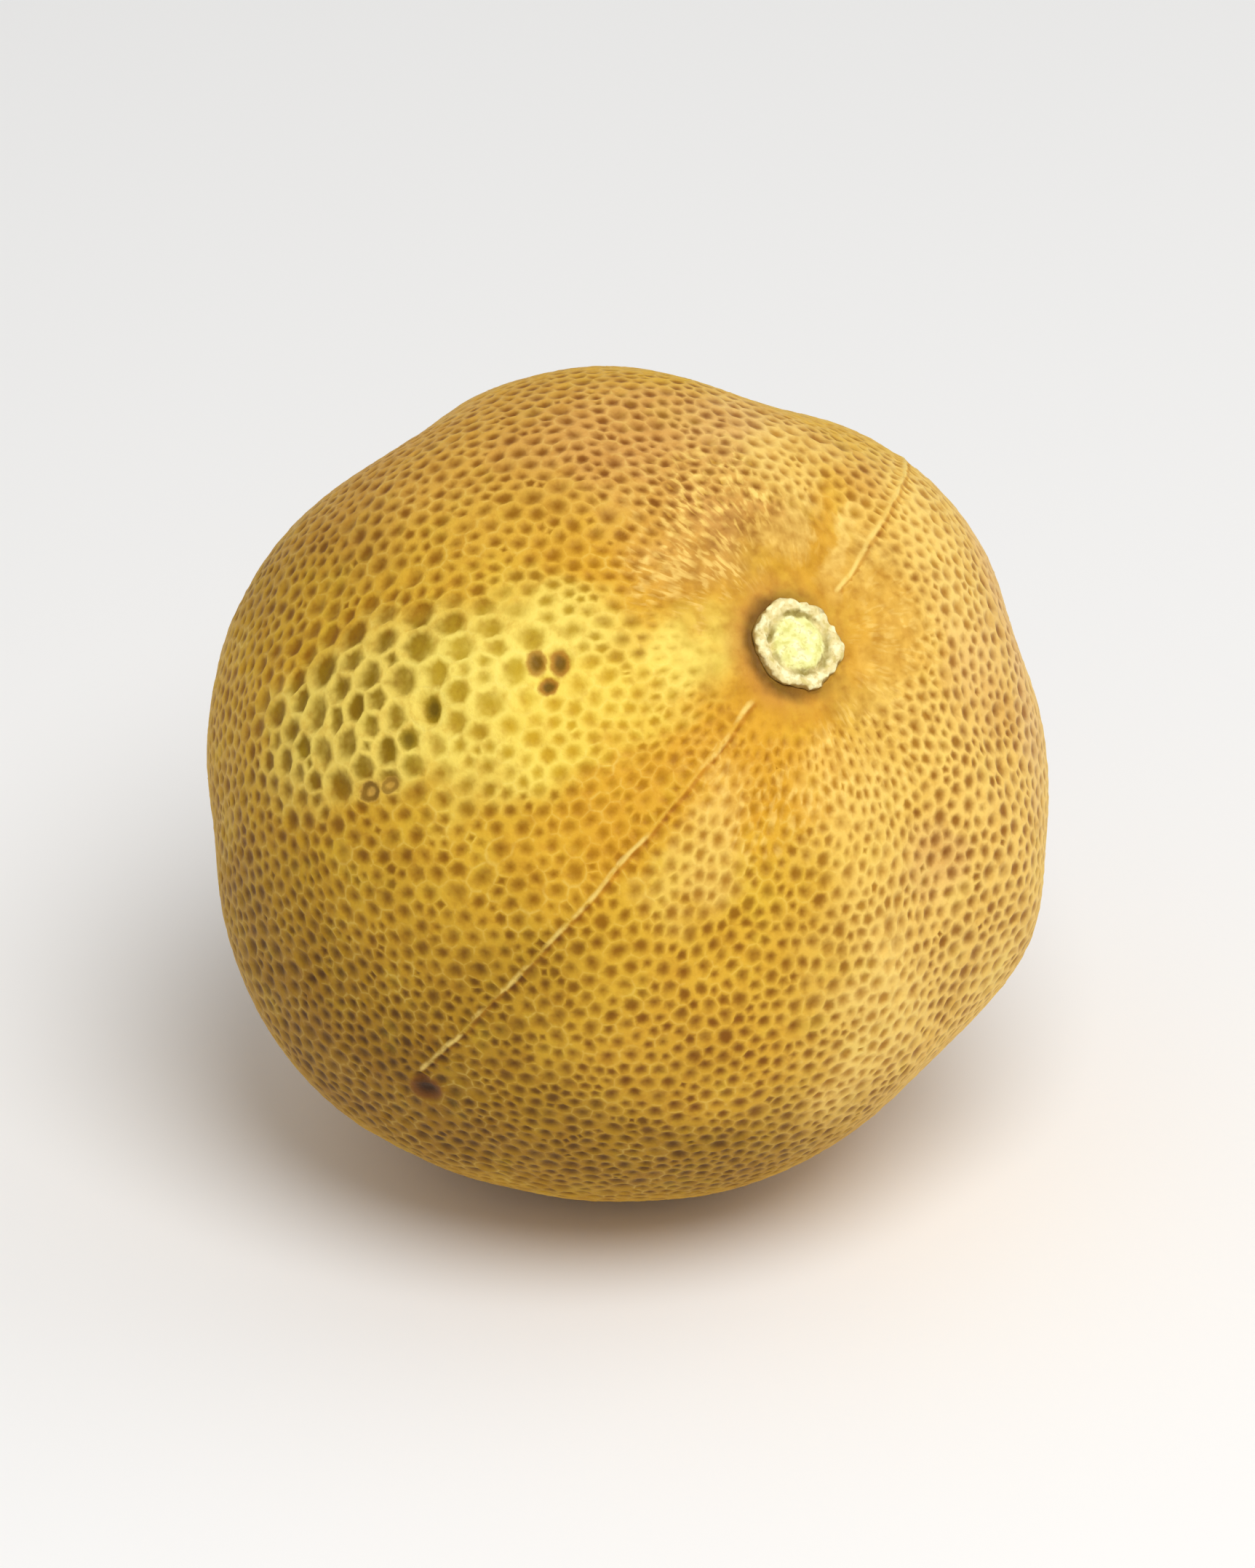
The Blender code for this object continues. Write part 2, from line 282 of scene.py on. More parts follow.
    def relief(self, height: Signal, depth: float, strength: float) -> Wire:
        """Turns a height from 0 to 1 into a fine relief of the surface."""
        sockets = {"Height": height, "Distance": depth, "Strength": strength}
        return self.node("ShaderNodeBump", {}, sockets).outputs[0]


@dataclass(frozen=True)
class Lean:
    """How the fruit's own frame stands in the room."""

    middle: Vector = field(default_factory=lambda: Vector((0.01, 0.15, 16.5)) * MM)
    tilt: float = 45.0 * DEGREE
    heading: float = -55.6 * DEGREE

    def matrix(self) -> Matrix:
        """Gives the turn and shift from the fruit's own frame to the room."""
        turn = Matrix.Rotation(self.heading, 4, "Z") @ Matrix.Rotation(self.tilt, 4, "Y")
        return Matrix.Translation(self.middle) @ turn

    def rest(self) -> Vector:
        """Gives the direction from the fruit's middle to the spot on which it rests."""
        return globe(math.pi - self.tilt, 0.0)

    def seen(self, wires: Wires, radius: float) -> Wire:
        """Gives the place on the fruit in its own frame, 1 long at its mean radius."""
        turn = (0.0, self.tilt, self.heading)
        return wires.turned(wires.place(), self.middle, turn, (radius,) * 3)


@dataclass(frozen=True)
class Swell:
    """A soft hump, or a furrow where its height is below zero, that lies along a meridian.

    The place, the half-length and the half-width are in degrees, and the height in millimetres.
    """

    polar: float
    azimuth: float
    length: float
    width: float
    height: float

    def lift(self, directions: np.ndarray) -> np.ndarray:
        """Tells how far it lifts the rind in each direction."""
        azimuth = math.radians(self.azimuth)
        outward = np.array((math.cos(azimuth), math.sin(azimuth), 0.0))
        sideways = np.array((-math.sin(azimuth), math.cos(azimuth), 0.0))
        along = np.arctan2(directions @ outward, directions[:, 2]) - math.radians(self.polar)
        across = np.arcsin(np.clip(directions @ sideways, -1.0, 1.0))
        length = bell(along, math.radians(self.length))
        return self.height * MM * length * bell(across, math.radians(self.width))


SWELLS = tuple(
    Swell(*row)
    for row in (
        # Furrows that run out from the stem, and the dents in line with them
        (29, -70, 18, 6.0, -0.42), (25, -31, 15, 5.5, -0.38), (34, 19, 26, 7.5, -0.50),
        (86, 22, 20, 11.0, -0.35), (39, 63, 15, 9.0, -0.42), (62, 86, 13, 8.0, -0.40),
        (20, 134, 12, 6.0, -0.32), (65, 146, 19, 13.5, -0.96), (73, 170, 12, 9.0, -0.20),
        (38, 180, 14, 11.0, -0.34), (88, -167, 22, 13.0, -0.70), (26, -137, 16, 6.5, -0.30),
        (62, -128, 22, 8.0, -0.25),
        # Ribs between the furrows
        (50, -104, 32, 15.0, 0.36), (40, -47, 20, 7.0, 0.24), (31, -5, 20, 8.5, 0.38),
        (73, 42, 21, 9.0, 0.56), (22, 92, 10, 9.0, 0.18), (52, 112, 18, 11.0, 0.22),
        (19, 162, 9, 7.0, 0.20),
        # Broad swells and dents low on the fruit and on its far side
        (107, -136, 20, 13.0, 0.22), (122, -66, 28, 26.0, 0.72), (112, -108, 20, 9.0, -0.30),
        (106, 62, 26, 12.0, -0.40), (108, 98, 28, 14.0, 0.34), (118, 130, 24, 11.0, -0.42),
        (112, 160, 26, 13.0, 0.30), (132, -165, 20, 11.0, -0.36), (140, 100, 18, 14.0, -0.25),
    )
)


@dataclass(frozen=True)
class Form:
    """The fruit without its pits: a globe with swells, a stem hollow and a nipple."""

    lean: Lean = field(default_factory=Lean)
    radius: float = 17.0 * MM
    clearance: float = 0.02 * MM
    hollow_depth: float = 0.45 * MM
    hollow_spread: float = 12.0 * DEGREE
    nipple_height: float = 0.65 * MM
    nipple_spread: float = 9.0 * DEGREE
    moat_depth: float = 0.25 * MM
    moat_polar: float = 17.0 * DEGREE
    moat_spread: float = 6.0 * DEGREE
    rest_calm: float = 24.0 * DEGREE
    wave_height: float = 0.11 * MM
    waves: float = 4.2
    swells: tuple[Swell, ...] = SWELLS

    def ends(self, polar: np.ndarray) -> np.ndarray:
        """Gives the lift of the stem hollow, the nipple and its moat."""
        from_blossom = math.pi - polar
        hollow = self.hollow_depth * bell(polar, self.hollow_spread)
        nipple = self.nipple_height * bell(from_blossom, self.nipple_spread)
        moat = self.moat_depth * bell(from_blossom - self.moat_polar, self.moat_spread)
        return nipple - hollow - moat

    def radii(self, directions: np.ndarray) -> np.ndarray:
        """Gives the distance from the middle of the fruit to the top of the ridges.

        Args:
            directions: Unit directions in the fruit's own frame, in rows.

        Returns:
            One distance for each direction.
        """
        relief = sum(swell.lift(directions) for swell in self.swells)
        waves = [noise.noise(Vector(direction) * self.waves) for direction in directions]
        relief = relief + self.wave_height * np.array(waves)
        from_rest = np.arccos(np.clip(directions @ np.array(self.lean.rest()), -1.0, 1.0))
        calm = 1.0 - bell(from_rest, self.rest_calm)
        polar = np.arccos(np.clip(directions[:, 2], -1.0, 1.0))
        return self.radius - self.clearance + self.ends(polar) + relief * calm

    def stem_surface(self) -> float:
        """Gives the height of the rind on the stem axis, as if there were no button."""
        return float(self.radii(np.array(((0.0, 0.0, 1.0),)))[0]) + self.clearance


@dataclass(frozen=True)
class Stretch:
    """A patch of rind where the pits lie wider apart, or closer together below zero.

    The place and the spread are in degrees. The two shares say how much wider the pits lie along
    the meridian and across it.
    """

    polar: float
    azimuth: float
    spread: float
    along: float
    across: float

    def move(self, direction: Vector) -> Vector:
        """Moves a pit away from the patch's middle, or towards it."""
        lengthways = spot(self.polar + 90.0, self.azimuth)
        sideways = spot(90.0, self.azimuth + 90.0)
        away = direction.angle(spot(self.polar, self.azimuth))
        shift = lengthways * direction.dot(lengthways) * self.along
        shift += sideways * direction.dot(sideways) * self.across
        return (direction + shift * float(bell(away, math.radians(self.spread)))).normalized()


@dataclass(frozen=True)
class Sparse:
    """An oval patch of rind with fewer and larger pits, which are drawn out across the meridian.

    The place, the half-length along the meridian and the half-width are in degrees.
    """

    polar: float
    azimuth: float
    length: float
    width: float
    kept: float
    squeeze: float
    soft_start: float = 0.6
    soft_end: float = 1.2

    def inside(self, direction: Vector) -> float:
        """Tells how far a direction lies inside the patch, from 0 to 1."""
        along = direction.dot(spot(self.polar + 90.0, self.azimuth)) / math.radians(self.length)
        across = direction.dot(spot(90.0, self.azimuth + 90.0)) / math.radians(self.width)
        if direction.dot(spot(self.polar, self.azimuth)) < 0.0:
            return 0.0
        return 1.0 - float(fade(math.hypot(along, across), self.soft_start, self.soft_end))

    def share(self, direction: Vector) -> float:
        """Gives the share of the pits that is left in a direction."""
        return 1.0 - (1.0 - self.kept) * self.inside(direction)


@dataclass(frozen=True)
class Crease:
    """A thin raised line on one great circle through the stem."""

    azimuth: float = -60.0 * DEGREE
    height: float = 0.07 * MM
    start: float = 9.0 * DEGREE
    full: float = 14.5 * DEGREE
    long_end: float = 87.5 * DEGREE
    short_end: float = 60.0 * DEGREE
    dying: float = 0.92
    corner_reach: float = 0.3

    def side(self) -> Vector:
        """Gives the direction square to the plane in which the crease lies."""
        return globe(math.pi / 2.0, self.azimuth + math.pi / 2.0)

    def offset(self, direction: Vector) -> float:
        """Gives the angle between a direction and that plane."""
        return math.asin(max(-1.0, min(1.0, direction.dot(self.side()))))

    def end(self, direction: Vector) -> float:
        """Gives the polar angle at which the crease ends on this side of the stem."""
        long_side = direction.dot(globe(math.pi / 2.0, self.azimuth)) > 0.0
        return self.long_end if long_side else self.short_end

    def run(self, direction: Vector, step: float) -> float:
        """Tells how strong the crease is at a corner of the net, which is 0 off its line."""
        if abs(self.offset(direction)) > step * self.corner_reach:
            return 0.0
        polar = direction.angle(AXIS)
        end = self.end(direction)
        return float(fade(polar, self.start, self.full) * (1.0 - fade(polar, end * self.dying, end)))

    def pits(self, step: float) -> list[Vector]:
        """Places the pits that line both sides of the crease, so that a ridge runs between them."""
        aside = self.side() * step / 2.0
        lined = []
        for azimuth in (self.azimuth, self.azimuth + math.pi):
            polar = self.start
            while polar < self.end(globe(polar, azimuth)):
                lined += [(globe(polar, azimuth) + aside * way).normalized() for way in (-1, 1)]
                polar += step
        return lined

    def clear(self, direction: Vector, step: float) -> bool:
        """Tells whether a scattered pit leaves room for the pits that line the crease."""
        polar = direction.angle(AXIS)
        in_run = self.start - step < polar < self.end(direction) + step / 2.0
        return not in_run or abs(self.offset(direction)) > step


@dataclass(frozen=True)
class Lobes:
    """The shallow lobes of the button's rim, between which it is drawn in."""

    count: int = 6
    height: float = 0.06 * MM

    def draw_in(self, azimuth: float) -> float:
        """Tells how far the rim is drawn in on this side."""
        return self.height * (1.0 - math.cos(self.count * azimuth))


@dataclass(frozen=True)
class Socket:
    """The round mouth in the rind in which the button sits."""

    lobes: Lobes
    radius: float = 2.05 * MM
    pit_step: float = 0.42 * MM
    depth: float = 0.9 * MM
    lip: tuple[tuple[float, float], ...] = (
        (2.00, 0.04), (1.95, 0.06), (1.90, 0.04), (1.86, -0.02), (1.84, -0.30),
    )

    def polar(self, height: float) -> float:
        """Gives the polar angle of the mouth."""
        return math.atan2(self.radius, height)

    def pits(self, polar: float, height: float) -> list[Vector]:
        """Places the pits that line both sides of the mouth, so that a ridge runs round it."""
        count = round(math.tau * self.radius / self.pit_step)
        half = self.pit_step / height / 2.0
        turns = [math.tau * index / count for index in range(count)]
        return [globe(polar + half * way, turn) for turn in turns for way in (-1, 1)]


@dataclass(frozen=True)
class Net:
    """The oil-gland pits and the net of ridges between them."""

    count: int = 7700
    scatter: float = 0.32
    rounds: int = 7
    long_edge: float = 0.026
    drift: float = 0.010
    drifts: float = 8.0
    seed: int = 11
    inset: float = 1e-4
    depth: float = 0.30
    depth_spread: float = 0.30
    spoilt_depth: float = 1.5
    fade_start: float = 10.0 * DEGREE
    fade_end: float = 15.0 * DEGREE
    quiet_start: float = 6.0 * DEGREE
    quiet_end: float = 14.0 * DEGREE
    quiet_spread: float = 70.0 * DEGREE
    quiet_sides: tuple[Vector, ...] = (spot(90, -160), spot(90, 122))
    smooth_inside: float = 12.0 * DEGREE
    smooth_outside: float = 21.0 * DEGREE
    small_reach: float = 0.38 * MM
    large_reach: float = 0.62 * MM
    small_size: float = 0.85
    large_size: float = 1.06
    size_spread: float = 0.12
    quiet_tone: float = 0.42
    ridge_tone: float = 0.5
    stem_squeeze: float = 0.5
    squeeze_polar: float = 16.0 * DEGREE
    squeeze_spread: float = 9.0 * DEGREE
    ring_share: float = 0.57
    ring_roundness: float = 0.60
    ring_depth: float = 0.60
    large_ring_depth: float = 0.86
    ridge_unevenness: float = 0.03 * MM
    crease_step: float = 0.86
    gather: float = 0.50
    gather_polar: float = 38.0 * DEGREE
    sparse: Sparse = Sparse(62, -112, 25, 15, 0.36, 0.34)
    thinning: float = 0.7549
    stretches: tuple[Stretch, ...] = (
        Stretch(45, -35, 75, -0.13, -0.13),
        Stretch(40, 180, 20, -0.12, -0.12),
        Stretch(82, -35, 26, -0.28, 0.12),
        Stretch(80, -80, 20, -0.25, 0.05),
    )

    def pitch(self) -> float:
        """Gives the mean angle from one pit to the next."""
        return math.sqrt(4.0 * math.pi / self.count)

    def near_stem(self, direction: Vector) -> float:
        """Tells how plain the pits show, which fade towards the stem and sooner on one side."""
        polar = direction.angle(AXIS)
        flat = Vector((direction.x, direction.y, 0.0))
        off = min(flat.angle(side, math.pi) for side in self.quiet_sides)
        quiet = float(bell(off, self.quiet_spread))
        start = self.fade_start + self.quiet_start * quiet
        return float(fade(polar, start, self.fade_end + self.quiet_end * quiet))

    def squeeze(self, direction: Vector) -> Vector:
        """Gives the way in which a pit is squeezed; the square of its length is the share."""
        azimuth = math.atan2(direction.y, direction.x)
        polar = direction.angle(AXIS)
        lengthways = globe(polar + math.pi / 2.0, azimuth)
        sideways = globe(math.pi / 2.0, azimuth + math.pi / 2.0)
        patch = self.sparse.squeeze * self.sparse.inside(direction)
        stem = self.stem_squeeze * float(bell(polar - self.squeeze_polar, self.squeeze_spread))
        if patch > stem:
            return lengthways * math.sqrt(patch)
        return sideways * math.sqrt(stem)

    def large(self, direction: Vector, reach: float) -> float:
        """Tells how far a pit is one of the patch's large ones, by its reach, from 0 to 1."""
        width = float(fade(reach, self.small_reach, self.large_reach))
        return width * self.sparse.inside(direction)

    def scattered(self, index: int, draw: random.Random) -> Vector:
        """Gives a pit's place: a step of an even spiral over the globe, moved at random."""
        height = 1.0 - (2.0 * index + 1.0) / self.count
        golden_angle = math.pi * (3.0 - math.sqrt(5.0))
        shift = Vector([draw.gauss(0.0, self.scatter) for _ in range(3)])
        return (globe(math.acos(height), index * golden_angle) + shift * self.pitch()).normalized()

    def relaxed(self, places: list[Vector]) -> list[Vector]:
        """Moves apart the pits that lie too close together."""
        mesh = bmesh.new()
        for place in places:
            mesh.verts.new(place)
        axes = {"use_axis_x": True, "use_axis_y": True, "use_axis_z": True}
        for _ in range(self.rounds):
            bmesh.ops.convex_hull(mesh, input=mesh.verts[:])
            bmesh.ops.smooth_vert(mesh, verts=mesh.verts[:], factor=0.5, **axes)
            bmesh.ops.delete(mesh, geom=mesh.edges[:] + mesh.faces[:], context="EDGES_FACES")
            for corner in mesh.verts:
                corner.co.normalize()
        eased = [corner.co.copy() for corner in mesh.verts]
        mesh.free()
        return eased

    def gathered(self, direction: Vector) -> Vector:
        """Draws a pit towards the stem, round which the skin is gathered."""
        polar = direction.angle(AXIS)
        drawn = polar * (1.0 - self.gather * float(bell(polar, self.gather_polar)))
        return globe(drawn, math.atan2(direction.y, direction.x))

    def places(self) -> list[Vector]:
        """Scatters the pits over the whole fruit, wider apart in some patches than in others."""
        draw = random.Random(self.seed)
        scattered = [self.scattered(index, draw) for index in range(self.count)]
        kept = [
            place
            for index, place in enumerate(scattered)
            if index * self.thinning % 1.0 < self.sparse.share(place)
        ]
        moved = []
        for place in self.relaxed(kept):
            place = place + noise.noise_vector(place * self.drifts) * self.drift
            place.normalize()
            for patch in self.stretches:
                place = patch.move(place)
            moved.append(self.gathered(place))
        return moved


@dataclass(frozen=True)
class Pit:
    """One oil-gland pit on the unit globe: its middle, its size and its state."""

    middle: Vector
    reach: float
    squeeze: Vector
    size: float
    depth: float
    ring_depth: float
    shown: float
    tone: float

    def wall(self, corner: Vector, net: Net) -> Vector:
        """Gives the place on its wall below one corner of the net."""
        arm = corner - self.middle
        even_arm = arm.normalized() * self.reach
        arm = arm.lerp(even_arm, net.ring_roundness) * net.ring_share * self.size
        return (self.middle + arm - self.squeeze * arm.dot(self.squeeze)).normalized()

    def mark(
        self, corner: bmesh.types.BMVert, layers: dict[Mark, object], depth: float, quiet: float
    ) -> None:
        """Marks a corner of its wall or its middle with the pit's state."""
        corner[layers[Mark.PIT]] = quiet + (depth - quiet) * self.shown
        corner[layers[Mark.TONE]] = self.tone


class Rot(Enum):
    """The colours of a spoilt pit, each as that of its rim and that of its middle."""

    BROWN = (paint(188, 132, 40), paint(116, 84, 4))
    OLIVE = (paint(156, 126, 14), paint(104, 80, 2))
    RING = (paint(214, 168, 74), paint(126, 90, 14))
    DARK = (paint(128, 76, 14), paint(62, 34, 5))


@dataclass(frozen=True)
class Scar:
    """A spoilt pit, which is oval and dark, and which has a light middle if it is a ring.

    The place is in degrees, and the half-length along the meridian and the half-width in
    millimetres.
    """

    polar: float
    azimuth: float
    length: float
    width: float
    rot: Rot
    share: float
    ring: bool = False
    room: float = 1.2

    def clear(self, direction: Vector, radius: float) -> bool:
        """Tells whether a scattered pit leaves room for it."""
        away = direction.angle(spot(self.polar, self.azimuth)) * radius
        return away > self.room * max(self.length, self.width) * MM

    def paint_on(self, wires: Wires, place: object, colour: object, radius: float) -> Wire:
        """Paints the spoilt pit.

        Args:
            wires: The material's nodes.
            place: The place on the fruit in its own frame.
            colour: The colour so far.
            radius: The fruit's radius.

        Returns:
            The colour with the pit.
        """
        size = (self.length * MM / radius, self.width * MM / radius)
        away = wires.away(place, self, *size)
        rim, middle = self.rot.value
        core = away.step(0.95, 0.25)
        if self.ring:
            core = away.step(1.0, 0.75) * away.step(0.25, 0.55)
        colour = wires.lay(colour, rim, away.step(1.15, 0.75) * self.share)
        return wires.lay(colour, middle, core * self.share)


SCARS = (
    # Three rotted pits between the left patch and the stem: two side by side and one below
    Scar(35.8, -107.8, 0.44, 0.62, Rot.BROWN, 0.85),
    Scar(32.8, -106.8, 0.42, 0.62, Rot.BROWN, 0.95),
    Scar(34.8, -101.7, 0.42, 0.38, Rot.BROWN, 1.0),
    # Two ring-shaped pits, and a dark brown spot at the end of the crease
    Scar(63.2, -95.7, 0.58, 0.44, Rot.RING, 0.85, True),
    Scar(60.0, -95.2, 0.44, 0.36, Rot.RING, 0.6, True),
    Scar(88.0, -57.4, 0.9, 0.7, Rot.DARK, 1.0),
    # The scar of the style at the blossom end
    Scar(178.5, 0.0, 0.85, 0.75, Rot.DARK, 0.9),
    # The two darkest pits of the left patch
    Scar(51.0, -104.2, 0.44, 0.58, Rot.OLIVE, 0.9),
    Scar(55.2, -100.6, 0.38, 0.46, Rot.OLIVE, 0.75),
)


class Shade(Enum):
    """The rind's colours, each as that of its ridges and that of its pits."""

    GROUND = (paint(226, 177, 50), paint(156, 104, 2))
    STRAW = (paint(250, 220, 104), paint(138, 108, 4))
    LEMON = (paint(255, 230, 110), paint(196, 162, 40))
    BUTTER = (paint(250, 218, 88), paint(216, 172, 36))
    ORANGE = (paint(226, 166, 42), paint(186, 128, 6))
    TAN = (paint(251, 207, 108), paint(160, 106, 28))
    AMBER = (paint(228, 174, 50), paint(140, 84, 1))
    RUSSET = (paint(222, 166, 84), paint(140, 84, 18))
    OLIVE = (paint(162, 116, 8), paint(84, 52, 0))
    CREAM = (paint(254, 215, 116), paint(200, 146, 50))
    ROSE = (paint(242, 198, 132), paint(164, 112, 60))


@dataclass(frozen=True)
class Coat:
    """The colour of the ridges and that of the pits, as they change over the rind."""

    ridge: object
    pit: object

    def under(self, wires: Wires, shade: Shade, share: Number) -> "Coat":
        """Lays a shade over both colours."""
        ridge, pit = shade.value
        return Coat(wires.lay(self.ridge, ridge, share), wires.lay(self.pit, pit, share))


@dataclass(frozen=True)
class Blush:
    """An oval patch of another shade, with ragged edges.

    The place, the half-length away from the stem and the half-width are in degrees.
    """

    polar: float
    azimuth: float
    length: float
    width: float
    shade: Shade
    share: float
    core: float = 0.25
    streaky: bool = False

    def cover(self, wires: Wires, place: object) -> Signal:
        """Tells how much of the rind the patch covers at a place in the fruit's own frame."""
        size = (math.radians(self.length), math.radians(self.width))
        return wires.away(place, self, *size).step(1.0, self.core) * self.share


def blushes(shade: Shade, *rows: tuple[float, ...]) -> list[Blush]:
    """Makes patches of one shade; a row is the place, the two sizes, the share and what follows."""
    return [Blush(*row[:4], shade, *row[4:]) for row in rows]


BLUSHES = (
    # Broad differences from one side of the fruit to the other; the olive patches are partly the
    # rind's own darker tone and partly painted shade, darker towards the bottom
    *blushes(Shade.OLIVE, (97, -68, 50, 58, 0.9, 0.15), (80, -140, 30, 26, 0.55, 0.1)),
    *blushes(Shade.TAN, (60, 24, 46, 42, 0.8, 0.35)),
    *blushes(Shade.AMBER, (58, -28, 26, 20, 0.8, 0.3)),
    *blushes(Shade.TAN, (40, 75, 42, 50, 0.8, 0.35), (90, 130, 60, 60, 0.5, 0.2)),
    *blushes(Shade.RUSSET, (66, -160, 50, 34, 0.5, 0.2)),
    *blushes(Shade.AMBER, (130, 20, 50, 90, 0.5, 0.2)),
    # More olive patches: partly the rind's own tone and partly painted shade low on the fruit
    *blushes(
        Shade.OLIVE,
        (94, -56, 24, 22, 0.8, 0.2), (66, -61, 22, 12, 0.4), (60, -36, 12, 16, 0.25),
        (86, -22, 26, 52, 0.8, 0.15),
    ),
    # Furrows: orange that is partly the skin's own tone round the stem and partly painted shade in
    # the furrows
    *blushes(
        Shade.ORANGE,
        (26, -67, 30, 11, 0.85, 0.35), (17, -28, 16, 12, 0.95, 0.4), (14, 82, 10, 12, 0.8, 0.4),
        (22, 72, 12, 9, 0.4), (20, 134, 9, 8, 0.7), (30, 122, 11, 10, 0.4), (22, -56, 9, 9, 0.6),
        (25, -36, 8, 8, 0.6), (16, 138, 13, 9, 0.7, 0.4), (22, -140, 22, 12, 0.6),
    ),
    # Rosy and browned places
    *blushes(Shade.ROSE, (38, 160, 18, 22, 0.65, 0.1)),
    *blushes(Shade.RUSSET, (23, -174, 17, 17, 0.95, 0.1)),
    *blushes(Shade.ROSE, (54, 84, 16, 34, 0.7), (33, 84, 12, 18, 0.4), (36, 22, 14, 7, 0.25)),
    *blushes(Shade.RUSSET, (44, -175, 20, 20, 0.9), (40, 64, 10, 7, 0.5), (35, 127, 9, 6, 0.5)),
    *blushes(Shade.AMBER, (55, -20, 8, 10, 0.6), (27, -4, 7, 6, 0.5)),
    *blushes(Shade.RUSSET, (37, 21, 8, 8, 0.5), (38, -174, 8, 9, 0.8)),
    *blushes(Shade.AMBER, (59, -36, 9, 12, 0.6)),
    # Pale ribs: partly the rind's own paler tone and partly painted light on the ribs
    *blushes(Shade.STRAW, (61, -108, 30, 14, 0.9, 0.4)),
    *blushes(
        Shade.LEMON,
        (41, -104, 19, 15, 0.9, 0.45), (47, -90, 12, 9, 0.5, 0.3), (16, -103, 12, 10, 0.75, 0.3),
        (34, -118, 16, 9, 0.6, 0.3),
    ),
    *blushes(Shade.BUTTER, (32, -92, 20, 11, 0.8, 0.3)),
    *blushes(
        Shade.CREAM,
        (31, -46, 16, 7, 0.5), (19, -2, 10, 10, 0.4), (32, 2, 18, 11, 0.45), (60, 2, 22, 11, 0.7),
        (18, 50, 10, 16, 0.25), (22, 100, 16, 16, 0.3), (34, 94, 10, 11, 0.7),
        (62, 72, 12, 50, 0.5, 0.1), (34, 148, 12, 9, 0.7), (40, 112, 20, 12, 0.75),
        (21, 125, 14, 2.6, 0.8), (19, 160, 10, 5, 0.7), (66, 34, 10, 12, 0.5),
        (22, 180, 15, 16, 0.95, 0.5, True), (19, -152, 12, 11, 0.8, 0.5, True),
        (19, 80, 12, 18, 0.6, 0.4, True), (17, 20, 11, 14, 0.8, 0.4, True),
        (24, -35, 12, 16, 0.5, 0.4, True),
    ),
)


